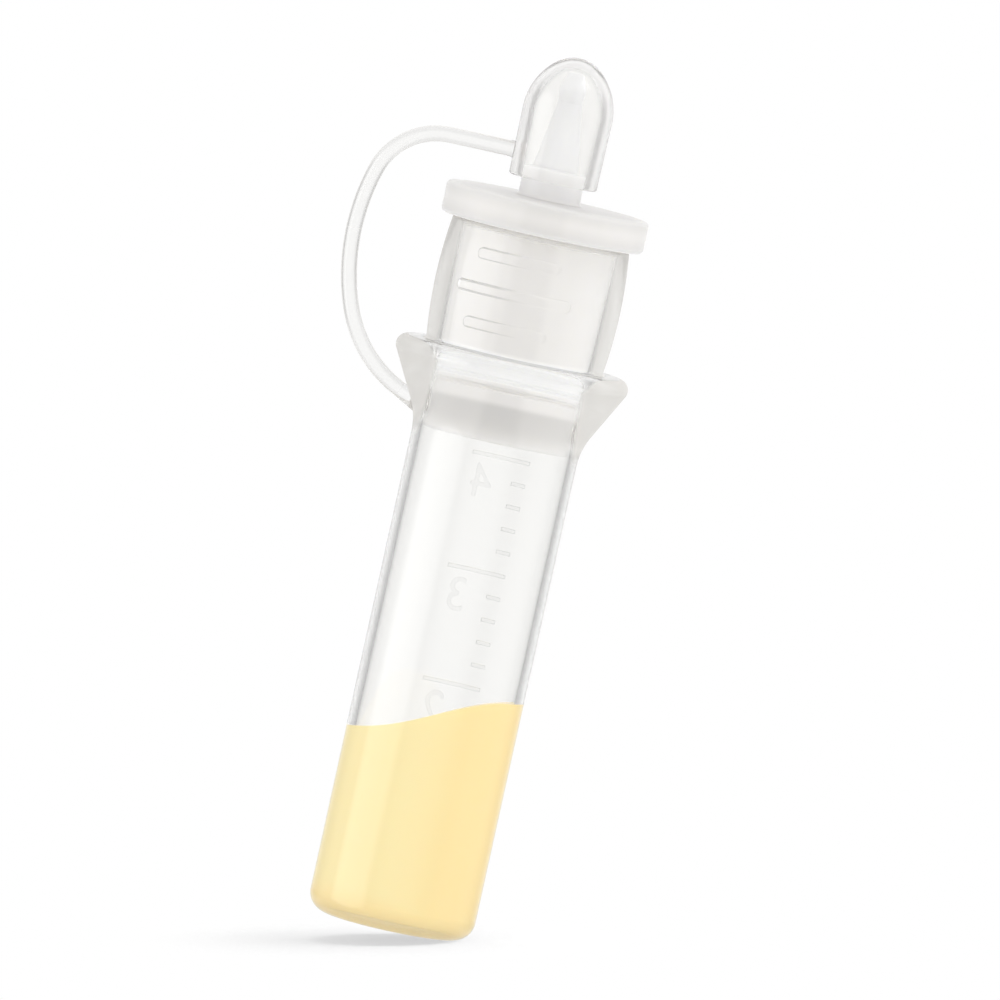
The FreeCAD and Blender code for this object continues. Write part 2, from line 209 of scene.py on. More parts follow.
class SyringeDoseSizes(bpy.types.PropertyGroup):
    """Sizes of the dose, which is level while the syringe leans."""

    height: length("Dose height", "Height of the surface on the axis", 16.95)
    wave_step: length("Wave step", "Height of the wave in the surface", 1.9)
    wave_length: length("Wave length", "Length of the wave", 10.4)
    lean: angle("Lean", "Lean of the syringe towards +X", 12.45)
    nod: angle("Nod", "Nod of the syringe towards the front", 4.2)
    wetting: length("Wetting", "How far the liquid reaches into the wall, so that no air shows", 0.02)


class SyringeColours(bpy.types.PropertyGroup):
    """Colours of the moulded pieces and the dose."""

    clear: colour("Clear silicone", "Tint of the clear silicone", "FEFEFD")
    haze: colour("Haze", "Colour of the clear silicone where it is thick", "DFDDD9")
    milky: colour("Milky silicone", "Colour of the milky silicone", "EFEDEB")
    dose: colour("Dose", "Colour of the dose", "FFEBAD")
    # Painted shade: the colour that the dose takes low down and on the side away from the light.
    dose_deep: colour("Deep dose", "Colour of the dose low down and away from the light", "FFE3A0")


class SyringeFinish(bpy.types.PropertyGroup):
    """How strongly the silicone's haze and the painted shade at its rims and relief edges show, from 0 to 1.
    """

    haze: strength("Haze", "Haze of the cap and of the strap's middle", 0.12)
    strap_rim_haze: strength("Strap rim haze", "Haze at the strap's rims", 0.7)
    container_haze: strength("Container haze", "Haze of the container's thin walls", 0.045)
    collar_haze: strength("Collar haze", "Haze of the collar's solid ring", 0.85)
    neck_haze: strength("Neck haze", "Haze at the neck's sides", 0.7)
    lip_haze: strength("Lip haze", "Haze of the mouth's lip", 0.6)
    # Painted shade: grey painted into the colour at the rims of the barrel, neck and cap, and in the flanks
    # of the relief.
    rim: strength("Rim", "Grey of the rims of the barrel and cap", 0.5)
    neck_rim: strength("Neck rim", "Grey of the neck's rims", 0.15)
    rib_tint: strength("Rib tint", "Grey in the flanks of the ribs on the side of the strap", 0.5)
    foot_tint: strength("Foot tint", "Grey where the neck meets the collar", 0.6)
    scale_tint: strength("Scale tint", "Grey of the raised lines and digits", 0.16)


class SyringeStage(bpy.types.PropertyGroup):
    """The camera, the floor and the lamps."""

    distance: length("Camera distance", "Distance from the camera to the syringe", 1400)
    field: length("Field", "Width of what the camera sees at the syringe", 78)
    aim_x: length("Aim across", "Point that the camera looks at, along X", 1.33)
    aim_z: length("Aim height", "Point that the camera looks at, along Z", 34.4)
    elevation: angle("Elevation", "How far above level the camera looks from", 3.7)
    floor_r: length("Floor radius", "Radius of the floor", 400)
    floor_tone: strength("Floor tone", "How much of the lamps' light the floor gives back", 0.35)
    floor_glow: strength("Floor glow", "Light that the floor has in every shadow", 0.42)
    fade_start: length("Fade start", "Distance from the axis where the floor starts to fade to white", 10)
    fade_end: length("Fade end", "Distance from the axis where the floor is plain white", 20)
    plain: strength("Plain light", "Even light from all round on matt surfaces", 1.03)
    sheets: strength("Sheets", "Brightness of the four white sheets that gloss and clear rubber show", 0.97)
    corners: strength("Corners", "Brightness of the corners between the sheets", 0.47)
    ceiling: strength("Ceiling", "Brightness above and below the sheets", 0.85)
    softbox: strength("Softbox", "Added brightness of the softbox to the left", 2.2)


GROUPS = {
    "syringe_container": SyringeContainerSizes,
    "syringe_relief": SyringeReliefSizes,
    "syringe_stopper": SyringeStopperSizes,
    "syringe_cap": SyringeCapSizes,
    "syringe_strap": SyringeStrapSizes,
    "syringe_dose": SyringeDoseSizes,
    "syringe_colours": SyringeColours,
    "syringe_finish": SyringeFinish,
    "syringe_stage": SyringeStage,
}


# ---- outlines, as points (radius, height) ----


def arc(centre, radius, start, end, step=math.radians(5)):
    """Points on an arc between two angles, which are measured from +radius towards +height."""
    count = max(2, math.ceil(abs(end - start) / step))
    angles = [start + (end - start) * i / count for i in range(count + 1)]
    return [centre + radius * Vector((math.cos(a), math.sin(a))) for a in angles]


def rounded(*corners):
    """An outline through corners (radius, height) or (radius, height, rounding)."""
    points = [Vector(corner[:2]) for corner in corners]
    outline = []
    for i, corner in enumerate(corners):
        if len(corner) == 2:
            outline.append(points[i])
            continue
        back = (points[i - 1] - points[i]).normalized()
        ahead = (points[(i + 1) % len(points)] - points[i]).normalized()
        half = back.angle(ahead) / 2
        centre = points[i] + (back + ahead).normalized() * corner[2] / math.sin(half)
        start = points[i] + back * corner[2] / math.tan(half) - centre
        turn = (math.pi - 2 * half) * math.copysign(1, back.x * ahead.y - back.y * ahead.x) * -1
        first = math.atan2(start.y, start.x)
        outline += arc(centre, corner[2], first, first + turn)
    return outline


def bulged(start, end, rise, count=14):
    """Points between two ends whose middle stands out by rise."""
    start, end = Vector(start), Vector(end)
    shares = [i / count for i in range(1, count)]
    return [start.lerp(end, t) + Vector((4 * rise * t * (1 - t), 0)) for t in shares]


def dome(side, height, nose, base):
    """Points up a bullet-shaped dome: a long side arc that runs into a rounder nose arc."""
    side_arc = (side**2 + (height - nose) ** 2 - nose**2) / (2 * (side - nose))
    join = math.atan2(height - nose, side_arc - side)
    flank = arc(Vector((side - side_arc, base)), side_arc, 0, join, math.radians(2))
    tip = arc(Vector((0, base + height - nose)), nose, join, math.pi / 2)
    return flank + tip[1:]


# ---- modelling ----


def edit_all():
    """Open the active piece's mesh with everything selected."""
    bpy.ops.object.mode_set(mode="EDIT")
    bpy.ops.mesh.select_all(action="SELECT")


def leave_closed():
    """Turn every face outwards and leave the mesh."""
    bpy.ops.mesh.select_all(action="SELECT")
    bpy.ops.mesh.normals_make_consistent(inside=False)
    bpy.ops.object.mode_set(mode="OBJECT")


def start_piece():
    """Leave every mode and selection behind."""
    if bpy.context.object and bpy.context.object.mode != "OBJECT":
        bpy.ops.object.mode_set(mode="OBJECT")
    bpy.ops.object.select_all(action="DESELECT")


def pick(piece):
    """Make one piece the selected and active one."""
    start_piece()
    piece.select_set(True)
    bpy.context.view_layer.objects.active = piece


def settle(piece, name):
    """Name a new piece and put its place into its mesh."""
    pick(piece)
    piece.name = name
    piece.data.name = name
    bpy.ops.object.transform_apply(location=True, rotation=True, scale=True)
    return piece


def turned(name, outline, steps=256):
    """Draw an outline point by point and spin it about the axis, as on a lathe."""
    start_piece()
    bpy.ops.mesh.primitive_plane_add(size=MM, location=(outline[0].x, 0, outline[0].y))
    piece = settle(bpy.context.object, name)
    edit_all()
    bpy.ops.mesh.merge(type="CENTER")
    for here, there in zip(outline, outline[1:]):
        step = there - here
        bpy.ops.mesh.extrude_region_move(TRANSFORM_OT_translate={"value": (step.x, 0, step.y)})
    bpy.ops.mesh.select_all(action="SELECT")
    bpy.ops.mesh.spin(steps=steps, angle=2 * math.pi, center=(0, 0, 0), axis=(0, 0, 1))
    bpy.ops.mesh.select_all(action="SELECT")
    bpy.ops.mesh.remove_doubles(threshold=JOIN)
    leave_closed()
    bpy.ops.object.shade_smooth_by_angle(angle=SMOOTH_BELOW)
    return piece


def apply_modifier(piece, kind, **settings):
    """Add a modifier with its settings and apply it."""
    pick(piece)
    modifier = piece.modifiers.new(kind.title(), kind)
    for key, value in settings.items():
        setattr(modifier, key, value)
    bpy.ops.object.modifier_apply(modifier=modifier.name)


def united(piece, *additions):
    """Mould additions onto a piece, so that they are one closed solid."""
    start_piece()
    for addition in additions:
        addition.select_set(True)
    bpy.context.view_layer.objects.active = additions[0]
    if len(additions) > 1:
        bpy.ops.object.join()
    apply_modifier(piece, "BOOLEAN", operation="UNION", solver="EXACT", object=additions[0])
    bpy.data.objects.remove(additions[0])
    pick(piece)
    bpy.ops.object.shade_smooth_by_angle(angle=SMOOTH_BELOW)


def raise_flat(piece, sink, proud, edge):
    """Give a flat shape its thickness from sink below to proud above, and round its upper edge."""
    pick(piece)
    edit_all()
    bpy.ops.transform.translate(value=(0, 0, -sink))
    bpy.ops.mesh.extrude_region_move(TRANSFORM_OT_translate={"value": (0, 0, sink + proud)})
    bpy.ops.mesh.region_to_loop()
    bpy.ops.mesh.bevel(offset=edge, segments=4, affect="EDGES", clamp_overlap=True)
    leave_closed()


def divide(piece, start, end, count):
    """Cut a flat shape across X into strips, so that it can be wrapped round."""
    pick(piece)
    bpy.ops.object.mode_set(mode="EDIT")
    for i in range(1, count):
        bpy.ops.mesh.select_all(action="SELECT")
        place = (start + (end - start) * i / count, 0, 0)
        bpy.ops.mesh.bisect(plane_co=place, plane_no=(1, 0, 0))
    bpy.ops.object.mode_set(mode="OBJECT")


def wrap(piece, facing, level, radius_at):
    """Wrap a relief drawn on the XY plane round the axis at a level: X runs round, Y up, and Z outwards."""
    for vertex in piece.data.vertices:
        across, rise, out = vertex.co
        height = level + rise
        radius = radius_at(height)
        turn = facing + across / radius
        vertex.co = ((radius + out) * math.cos(turn), (radius + out) * math.sin(turn), height)
    piece.data.update()


# ---- materials ----


def add_node(tree, kind, inputs=None, **settings):
    """Add a node with its settings; inputs gives each socket a value or the socket that feeds it."""
    node = tree.nodes.new(kind)
    for key, value in settings.items():
        setattr(node, key, value)
    for key, value in (inputs or {}).items():
        if isinstance(value, bpy.types.NodeSocket):
            tree.links.new(value, node.inputs[key])
        else:
            node.inputs[key].default_value = value
    return node


def grey(shade):
    """A neutral colour."""
    return (shade, shade, shade, 1)


def maths(tree, operation, *values):
    """A Math node's result."""
    return add_node(tree, "ShaderNodeMath", dict(enumerate(values)), operation=operation).outputs[0]


def vectors(tree, operation, *values):
    """A Vector Math node's outputs."""
    return add_node(tree, "ShaderNodeVectorMath", dict(enumerate(values)), operation=operation).outputs


def ramp(tree, value, low, high, start=0, end=1, interpolation="SMOOTHSTEP"):
    """A step from start to end while the value goes from low to high."""
    return add_node(
        tree,
        "ShaderNodeMapRange",
        {"Value": value, "From Min": low, "From Max": high, "To Min": start, "To Max": end},
        interpolation_type=interpolation,
    ).outputs["Result"]


def within(tree, value, low, high):
    """1 where the value lies between low and high, and 0 elsewhere."""
    return maths(tree, "COMPARE", value, (low + high) / 2, (high - low) / 2)


def mixed(tree, share, first, second):
    """A number that goes from first to second with share."""
    inputs = {"Factor": share, 2: first, 3: second}
    return add_node(tree, "ShaderNodeMix", inputs, data_type="FLOAT").outputs[0]


def tinted(tree, share, first, second):
    """A colour that goes from first to second with share."""
    inputs = {"Factor": share, 6: first, 7: second}
    return add_node(tree, "ShaderNodeMix", inputs, data_type="RGBA").outputs[2]


def layered(tree, share, first, second):
    """A shader that goes from first to second with share."""
    return add_node(tree, "ShaderNodeMixShader", {"Fac": share, 1: first, 2: second}).outputs[0]


def noise(tree, place, size, detail, roughness):
    """Cloudy noise whose largest clouds have a real size."""
    inputs = {"Vector": place, "Scale": 1 / size, "Detail": detail, "Roughness": roughness}
    return add_node(tree, "ShaderNodeTexNoise", inputs).outputs["Fac"]


def rises(base, *pairs):
    """Stops for levels: each pair gives a rise above the base height, in millimetres, and the level there."""
    return [(base + rise * MM, level) for rise, level in pairs]


def levels(tree, height, *stops):
    """A level that changes smoothly with height; each stop gives a height and its level, at most 2."""
    low, high = stops[0][0], stops[-1][0]
    along = ramp(tree, height, low, high, interpolation="LINEAR")
    stripes = add_node(tree, "ShaderNodeValToRGB", {"Fac": along})
    band = stripes.color_ramp
    band.interpolation = "EASE"
    for place, level in stops[1:-1]:
        band.elements.new((place - low) / (high - low))
    for element, (place, level) in zip(band.elements, stops):
        element.color = grey(level / 2)
    return maths(tree, "MULTIPLY", stripes.outputs["Color"], 2)


def new_material(name):
    """A material with an empty node tree, and the place on the piece that its patterns follow."""
    material = bpy.data.materials.new(name)
    material.use_nodes = True
    tree = material.node_tree
    tree.nodes.clear()
    return material, tree, add_node(tree, "ShaderNodeTexCoord").outputs["Object"]


def show(tree, shader):
    """Put a shader on the surface."""
    tree.links.new(shader, add_node(tree, "ShaderNodeOutputMaterial").inputs["Surface"])


def lamps_pass(tree, shader):
    """Let lamps light what is behind a clear piece, as they do through real silicone."""
    path = add_node(tree, "ShaderNodeLightPath").outputs
    unseen = maths(tree, "MAXIMUM", path["Is Shadow Ray"], path["Is Diffuse Ray"])
    return layered(tree, unseen, shader, add_node(tree, "ShaderNodeBsdfTransparent").outputs[0])


def rim_share(tree):
    """0 where the surface faces the eye, up to 1 at its rim."""
    return add_node(tree, "ShaderNodeLayerWeight", {"Blend": 0.5}).outputs["Facing"]


def around(tree, place):
    """Distance from the axis, height, and how squarely the surface faces away from the axis."""
    parts = add_node(tree, "ShaderNodeSeparateXYZ", {"Vector": place}).outputs
    flat = add_node(tree, "ShaderNodeCombineXYZ", {"X": parts["X"], "Y": parts["Y"]}).outputs[0]
    outward = vectors(tree, "NORMALIZE", flat)[0]
    normal = add_node(tree, "ShaderNodeNewGeometry").outputs["Normal"]
    square = vectors(tree, "DOT_PRODUCT", normal, outward)["Value"]
    return vectors(tree, "LENGTH", flat)["Value"], parts["Z"], maths(tree, "ABSOLUTE", square)


def sight_distance(tree, out, square):
    """How far from the axis the sight line through a place passes."""
    towards = maths(tree, "SUBTRACT", 1, rim_share(tree))
    level = maths(tree, "MINIMUM", maths(tree, "DIVIDE", towards, maths(tree, "MAXIMUM", square, 0.05)), 1)
    beside = maths(tree, "SQRT", maths(tree, "SUBTRACT", 1, maths(tree, "MULTIPLY", level, level)))
    return maths(tree, "MULTIPLY", out, beside)


def polished(tree, place, scene, colour, haziness, rim_painted_shade):
    """Clear silicone rubber out of a polished mould: a little hazy, with smears and waves in its gloss, and
    painted shade at its rims.
    """
    smears = noise(tree, place, 6 * MM, 4, 0.6)
    waves = noise(tree, place, 9 * MM, 2, 0.4)
    ripple = add_node(tree, "ShaderNodeBump", {"Strength": 0.25, "Distance": 0.05 * MM, "Height": waves})
    # Painted shade: grey painted into the colour towards the rims, where the rubber's edges look dark.
    rim = maths(tree, "MULTIPLY", ramp(tree, rim_share(tree), 0.79, 0.87), rim_painted_shade)
    clear = add_node(
        tree,
        "ShaderNodeBsdfPrincipled",
        {
            "Base Color": tinted(tree, rim, colour, grey(0.35)),
            "Roughness": ramp(tree, smears, 0.35, 0.7, 0.01, 0.05),
            "IOR": SILICONE_IOR,
            "Transmission Weight": 1,
            "Normal": ripple.outputs["Normal"],
        },
    )
    haze = add_node(tree, "ShaderNodeBsdfDiffuse", {"Color": (*scene.syringe_colours.milky, 1)})
    return layered(tree, haziness, clear.outputs[0], haze.outputs[0])


def clear_silicone(scene):
    """Clear silicone of the cap: painted shade makes sharp grey rims round a clear middle."""
    material, tree, place = new_material("moulded clear silicone")
    haze_and_painted_shade, colour = scene.syringe_finish, (*scene.syringe_colours.clear, 1)
    show(tree, lamps_pass(tree, polished(tree, place, scene, colour, haze_and_painted_shade.haze, haze_and_painted_shade.rim)))
    return material


def strap_silicone(scene):
    """Clear silicone of the strap, whose thin round section softens its own rims."""
    material, tree, place = new_material("moulded clear silicone of the strap")
    haze_and_painted_shade, colour = scene.syringe_finish, (*scene.syringe_colours.clear, 1)
    haziness = ramp(tree, rim_share(tree), 0.35, 0.7, haze_and_painted_shade.haze, haze_and_painted_shade.strap_rim_haze)
    show(tree, lamps_pass(tree, polished(tree, place, scene, colour, haziness, 0)))
    return material


def container_silicone(scene):
    """Clear silicone of the container: hazy where its collar is thick, with painted shade as soft grey edges
    on its relief and at its rims.
    """
    material, tree, place = new_material("moulded clear silicone of the container")
    colours, haze_and_painted_shade, sizes = scene.syringe_colours, scene.syringe_finish, scene.syringe_container
    out, height, square = around(tree, place)
    collar, mouth, bore = sizes.collar_height, CONTAINER_HIGH.z, BARREL_R - sizes.wall

    # The relief shows by painted shade in its flanks: the ribs towards the strap, the foot of the neck, the
    # scale.
    across = add_node(tree, "ShaderNodeSeparateXYZ", {"Vector": place}).outputs["X"]
    # Painted shade: grey painted on the rib flanks, strongest on the side towards the strap.
    lit = ramp(tree, across, 0.5 * MM, -2.8 * MM, 0, haze_and_painted_shade.rib_tint)
    ribs = maths(tree, "MULTIPLY", within(tree, height, collar + 0.6 * MM, mouth - 0.6 * MM), lit)
    neck = neck_radius(sizes, collar)
    # Painted shade: grey painted in the crease where the neck meets the collar.
    close = ramp(tree, out, neck + 0.35 * MM, neck + 0.25 * MM, 0, haze_and_painted_shade.foot_tint)
    foot = maths(tree, "MULTIPLY", within(tree, height, collar - 0.15 * MM, collar + 0.15 * MM), close)
    edges = maths(tree, "MULTIPLY", ramp(tree, square, 0.995, 0.92), maths(tree, "ADD", foot, ribs))
    # Painted shade: grey painted on the raised lines and digits of the scale.
    raised = ramp(tree, out, BARREL_R + 0.01 * MM, BARREL_R + 0.04 * MM, 0, haze_and_painted_shade.scale_tint)
    scale = maths(tree, "MULTIPLY", within(tree, height, 2 * MM, 38 * MM), raised)
    colour = tinted(tree, maths(tree, "ADD", edges, scale), (*colours.clear, 1), grey(0.2))

    # Painted shade: grey painted into the rims, strong on the barrel and weak on the neck.
    rim_painted_shade = ramp(tree, height, collar + 0.1 * MM, collar + 0.6 * MM, haze_and_painted_shade.rim, haze_and_painted_shade.neck_rim)
    rubber = polished(tree, place, scene, colour, haze_and_painted_shade.container_haze, rim_painted_shade)

    # A sight line beside the bore runs a long way through the solid ring of the collar, which looks milky.
    beside = ramp(tree, sight_distance(tree, out, square), bore - 0.05 * MM, bore + 0.45 * MM)
    ring = maths(tree, "MULTIPLY", beside, ramp(tree, height, collar - 8 * MM, collar - 5.8 * MM))
    depth = ramp(tree, height, collar, collar + 0.3 * MM, haze_and_painted_shade.collar_haze, haze_and_painted_shade.neck_haze)
    lip = ramp(tree, height, mouth - 0.6 * MM, mouth - 0.2 * MM, 0, haze_and_painted_shade.lip_haze)
    thick = maths(tree, "MAXIMUM", maths(tree, "MULTIPLY", ring, depth), lip)
    haze = add_node(tree, "ShaderNodeBsdfDiffuse", {"Color": (*colours.haze, 1)}).outputs[0]
    show(tree, lamps_pass(tree, layered(tree, thick, rubber, haze)))
    return material


def milky_silicone(scene):
    """Milky silicone rubber with a satin skin: light soaks in, and painted light and shade give each height
    its own tone.
    """
    material, tree, place = new_material("moulded milky silicone")
    sizes, collar = scene.syringe_stopper, scene.syringe_container.collar_height
    mouth = CONTAINER_HIGH.z
    out, height, square = around(tree, place)
    # Painted light and shade: the milky colour is scaled by a level for each height, darker where shade falls
    # and brighter where light falls.
    shade = levels(
        tree,
        height,
        *rises(STOPPER_LOW.z, (0, 0.87), (1.9, 0.78), (3, 0.77)),  # painted shade at the dim end of the plug
        *rises(sizes.groove, (-1, 0.98), (0.3, 0.98)),  # painted shade round the sealing rings between the grooves
        *rises(collar, (-1.2, 1.42), (-0.1, 1.42), (0.5, 1)),  # painted highlight: the bright ring below the neck
        *rises(mouth, (-0.7, 1.04), (-0.1, 1.05)),  # painted light on the plug in the neck
        *rises(mouth, (0.2, 0.84), (1.3, 0.93), (2.55, 0.76)),  # painted shade on the disc, dimmer at both rims
        *rises(mouth + sizes.disc, (0.15, 1.06), (2.25, 1.04), (2.95, 1.4)),  # painted light on the root, and brighter still on the thin spout
    )
    # Painted shade: the channel shows as a faint darker column painted wherever the sight line passes near
    # the axis.
    dim = ramp(tree, height, mouth - 0.5 * MM, mouth + MM, 0.92, 0.965)
    painted_channel_shade = ramp(tree, sight_distance(tree, out, square), 1.3 * MM, 2.1 * MM, dim, 1)
    channel = mixed(tree, ramp(tree, out, 3 * MM, 4 * MM), 1, painted_channel_shade)
    tone = add_node(
        tree,
        "ShaderNodeVectorMath",
        {0: scene.syringe_colours.milky, "Scale": maths(tree, "MULTIPLY", shade, channel)},
        operation="SCALE",
    )
    rubber = add_node(
        tree,
        "ShaderNodeBsdfPrincipled",
        {
            "Base Color": tone.outputs[0],
            "Roughness": ramp(tree, noise(tree, place, 9 * MM, 3, 0.5), 0.3, 0.7, 0.3, 0.36, "LINEAR"),
            "IOR": SILICONE_IOR,
            "Transmission Weight": 0.05,
            "Subsurface Weight": 1,
            "Subsurface Radius": (3 * MM, 3 * MM, 2.8 * MM),
            "Subsurface Scale": ramp(tree, height, mouth + 4.9 * MM, mouth + 5.5 * MM, 1, 0.5),
        },
    )
    show(tree, rubber.outputs[0])
    return material


def dose_liquid(scene):
    """Rich milk: an opaque pale yellow liquid, with painted shade that makes its colour a little deeper low
    down and away from the light.
    """
    material, tree, place = new_material("pale yellow milk")
    colours = scene.syringe_colours
    parts = add_node(tree, "ShaderNodeSeparateXYZ", {"Vector": place}).outputs
    # Painted shade: the colour deepens towards the bottom and towards +X, the side away from the light.
    low, far = ramp(tree, parts["Z"], 3 * MM, 1 * MM), ramp(tree, parts["X"], -1.5 * MM, 5 * MM)
    tone = tinted(tree, maths(tree, "MAXIMUM", low, far), (*colours.dose, 1), (*colours.dose_deep, 1))
    # Light that bounces off the dose stays neutral, so that the stopper above keeps its own colour.
    bounced = add_node(tree, "ShaderNodeLightPath").outputs["Is Diffuse Ray"]
    milk = add_node(
        tree,
        "ShaderNodeBsdfPrincipled",
        {
            "Base Color": tinted(tree, bounced, tone, grey(0.85)),
            "Roughness": ramp(tree, noise(tree, place, 7 * MM, 3, 0.5), 0.3, 0.7, 0.2, 0.26, "LINEAR"),
            "IOR": MILK_IOR,
            "Subsurface Weight": 0.15,
            "Subsurface Radius": (1.5 * MM, 1.1 * MM, 0.6 * MM),
            "Subsurface Scale": 1,
        },
    )
    show(tree, milk.outputs[0])
    return material


def finish_piece(piece, material):
    """Give a piece its material."""
    piece.data.materials.clear()
    piece.data.materials.append(material)


# ---- pieces ----


def neck_radius(sizes, height):
    """The neck's outer radius at a height."""
    share = (height - sizes.collar_height) / (CONTAINER_HIGH.z - sizes.collar_height)
    end = BARREL_R - sizes.wall + sizes.mouth_flare + sizes.neck_wall
    return end + 4 * sizes.neck_bulge * share * (1 - share)


def container_outline(sizes):
    """Up the outside from the middle of the base, over the mouth, and down the bore."""
    bore = BARREL_R - sizes.wall
    mouth = bore + sizes.mouth_flare
    neck = mouth + sizes.neck_wall
    mouth_z = CONTAINER_HIGH.z - sizes.mouth_gap
    top, nose = sizes.collar_height, sizes.collar_nose
    slope = sizes.collar_slope
    rim_r = CONTAINER_HIGH.x - nose
    rim_z = top - nose
    cone_r = rim_r + nose * math.cos(slope)
    cone_z = rim_z - nose * math.sin(slope)
    foot_z = cone_z - (cone_r - BARREL_R) / math.tan(slope)
    peak_r = cone_r + (top - cone_z) * math.tan(slope)
    outside = rounded(
        (0, 0),
        (BARREL_R, 0, sizes.base_corner),
        (BARREL_R, foot_z, sizes.collar_blend),
        (peak_r, top, nose),
        (neck, top, sizes.neck_foot),
        (neck, mouth_z - sizes.mouth_round * 2),
    )
    bulge = bulged((neck, top + sizes.neck_foot), (neck, mouth_z - sizes.mouth_round), sizes.neck_bulge)
    lip = rounded(
        (neck, mouth_z - sizes.mouth_round * 2),
        (neck, mouth_z, sizes.mouth_round),
        (mouth, mouth_z, sizes.mouth_round),
        (bore, top, 6 * sizes.mouth_round),
        (bore, sizes.floor, sizes.floor_corner),
        (0, sizes.floor),
    )
    return outside[:-1] + bulge + lip[1:]


def make_rib(relief, sizes, level, span):
    """One grip rib: a long rounded shape on the neck, with softened edges."""
    start_piece()
    bpy.ops.mesh.primitive_circle_add(vertices=26, radius=relief.rib_height / 2, fill_type="NGON")
    rib = settle(bpy.context.object, "rib")
    radius = neck_radius(sizes, level)
    half = radius * span / 2 - relief.rib_height / 2
    for vertex in rib.data.vertices:
        vertex.co.x += math.copysign(half, vertex.co.x)
    reach = half + relief.rib_height / 2
    divide(rib, -reach, reach, 24)
    raise_flat(rib, sizes.neck_wall / 2, relief.rib_proud, relief.rib_proud)
    wrap(rib, -math.pi / 2 - relief.rib_turn, level, lambda height: neck_radius(sizes, height))
    return rib


def make_line(relief, sizes, level, end):
    """One raised line of the scale, from the shared start to end."""
    start_piece()
    start, end = relief.line_start * BARREL_R, end * BARREL_R
    bpy.ops.mesh.primitive_plane_add(size=1)
    line = settle(bpy.context.object, "line")
    for vertex in line.data.vertices:
        vertex.co = (start if vertex.co.x < 0 else end, math.copysign(relief.line / 2, vertex.co.y), 0)
    divide(line, start, end, 8)
    raise_flat(line, sizes.wall / 2, relief.proud, relief.proud)
    wrap(line, math.pi / 2, level, lambda height: BARREL_R)
    return line


def make_digit(relief, number, level):
    """One raised digit below its line, rounded all over as a mould cut by a ball cutter leaves it."""
    start_piece()
    bpy.ops.object.text_add()
    text = bpy.context.object
    text.data.body = str(number)
    text.data.align_x = "CENTER"
    text.data.extrude = DIGIT_DEPTH
    bpy.ops.object.convert(target="MESH")
    digit = settle(bpy.context.object, "digit")
    edit_all()
    bpy.ops.mesh.remove_doubles(threshold=1e-5)
    leave_closed()
    apply_modifier(digit, "REMESH", mode="VOXEL", voxel_size=DIGIT_GRAIN)
    apply_modifier(digit, "SMOOTH", factor=0.5, iterations=4)
    low = Vector([min(vertex.co[i] for vertex in digit.data.vertices) for i in range(3)])
    high = Vector([max(vertex.co[i] for vertex in digit.data.vertices) for i in range(3)])
    scale = relief.digit_height / (high.y - low.y)
    place = Vector((relief.digit_turn * BARREL_R, -relief.digit_drop, relief.proud))
    for vertex in digit.data.vertices:
        vertex.co = place + (vertex.co - Vector(((low.x + high.x) / 2, high.y, high.z))) * scale
    wrap(digit, math.pi / 2, level, lambda height: BARREL_R)
    return digit


def strap_radius():
    """Radius of the strap's round section."""
    return (TETHER_HIGH.y - TETHER_LOW.y) / 2


def strap_reach():
    """Where the strap's middle line is furthest out, along X."""
    return TETHER_LOW.x + strap_radius()


def strap_root():
    """The strap's upper end, on the cap."""
    return Vector((TETHER_HIGH.x, 0, TETHER_HIGH.z - strap_radius()))


def make_stub(end, heading, depth, flare):
    """The round stub that the strap grows from: it runs from the strap's end into the wall and widens."""
    start_piece()
    bpy.ops.mesh.primitive_cone_add(
        vertices=48,
        radius1=strap_radius(),
        radius2=strap_radius() + flare,
        depth=depth,
        location=end + heading * depth / 2,
        rotation=heading.to_track_quat("Z", "Y").to_euler(),
    )
    return settle(bpy.context.object, "stub")


def strap_foot(sizes):
    """The strap's lower end, and the way it heads there into the wall."""
    bend_x = strap_reach() + sizes.bow_inset + sizes.lower_bend
    tilt = math.asin((sizes.foot_out + bend_x) / sizes.lower_bend)
    return Vector((-sizes.foot_out, 0, sizes.foot_height)), Vector((math.cos(tilt), 0, -math.sin(tilt)))


def strap_turns(sizes):
    """The strap's turns from the cap down to the collar: centre, first angle and last angle of each."""
    inset, upper, lower = sizes.bow_inset, sizes.upper_bend, sizes.lower_bend
    foot, heading = strap_foot(sizes)
    high = Vector((strap_reach() + inset + upper, 0, strap_root().z - upper))
    low = Vector((strap_reach() + inset + lower, 0, foot.z + lower * heading.x))
    apart = high.z - low.z
    drop = apart / 2 + inset * (lower - upper) / apart
    bow_r = (drop**2 / inset + 2 * upper + inset) / 2
    bow = Vector((strap_reach() + bow_r, 0, high.z - drop))
    first = math.atan2(high.z - bow.z, high.x - bow.x)
    last = math.atan2(low.z - bow.z, low.x - bow.x) + 2 * math.pi
    return (
        (high, math.pi / 2, first),
        (bow, first, last),
        (low, last, 1.5 * math.pi - math.asin(-heading.z)),
    )


